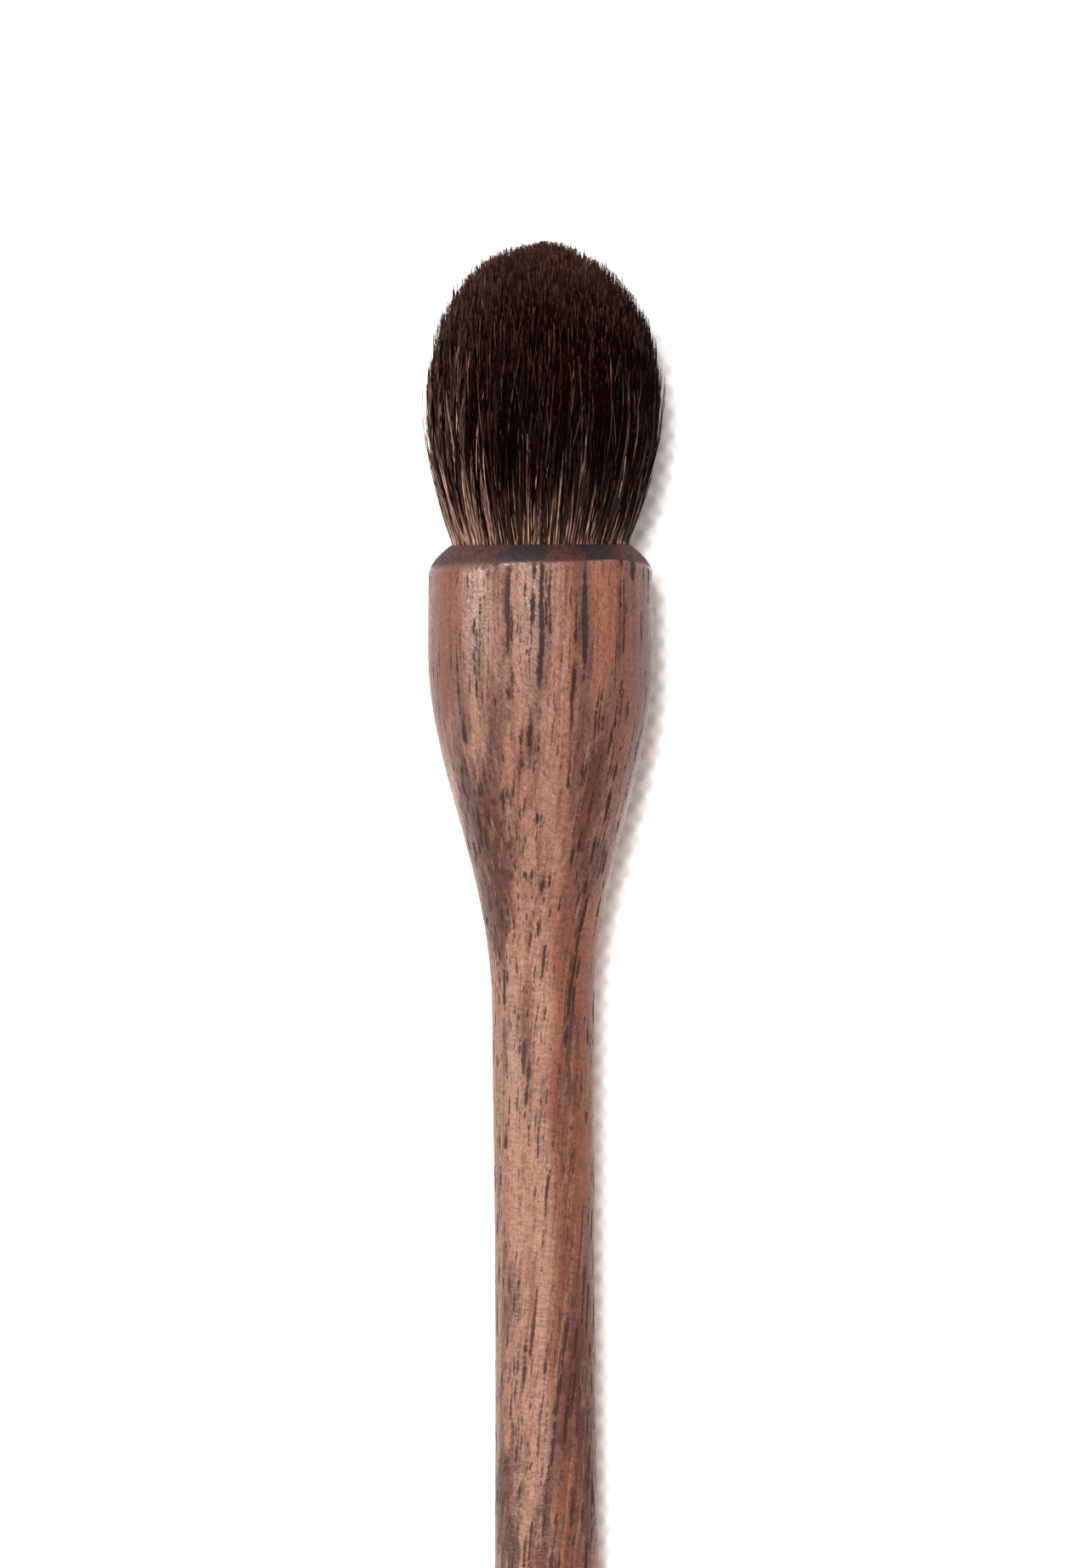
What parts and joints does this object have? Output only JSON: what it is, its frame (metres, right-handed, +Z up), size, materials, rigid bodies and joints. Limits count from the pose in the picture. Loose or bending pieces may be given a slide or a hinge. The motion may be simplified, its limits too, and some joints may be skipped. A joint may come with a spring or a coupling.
{
  "type": "eye makeup brush",
  "caption": "Round eye makeup brush: a domed tuft of dark natural hair set straight into the bored head of a turned walnut handle.",
  "frame": {"origin": "on the table under the middle of the brush as it lies on its side: the bottom centre of its bounding box", "axes": "+Y along the brush from the handle's tail to the tip of the hair, +Z up from the table, +X across the brush"},
  "size_m": [0.0144, 0.1448, 0.0146],
  "materials": {
    "walnut": "oiled walnut with a soft sheen and open dark pores",
    "brown_hair": "fine dark brown natural hair with lighter roots",
    "root_resin": "amber potting resin",
    "waxed_thread": "waxed thread",
    "cured_glue": "cured glue"
  },
  "bodies": {
    "root": {"handle": "walnut", "hair_tuft": "brown_hair", "root_plug": "root_resin", "root_binding": "waxed_thread", "socket_glue": "cured_glue"}
  },
  "joints": []
}
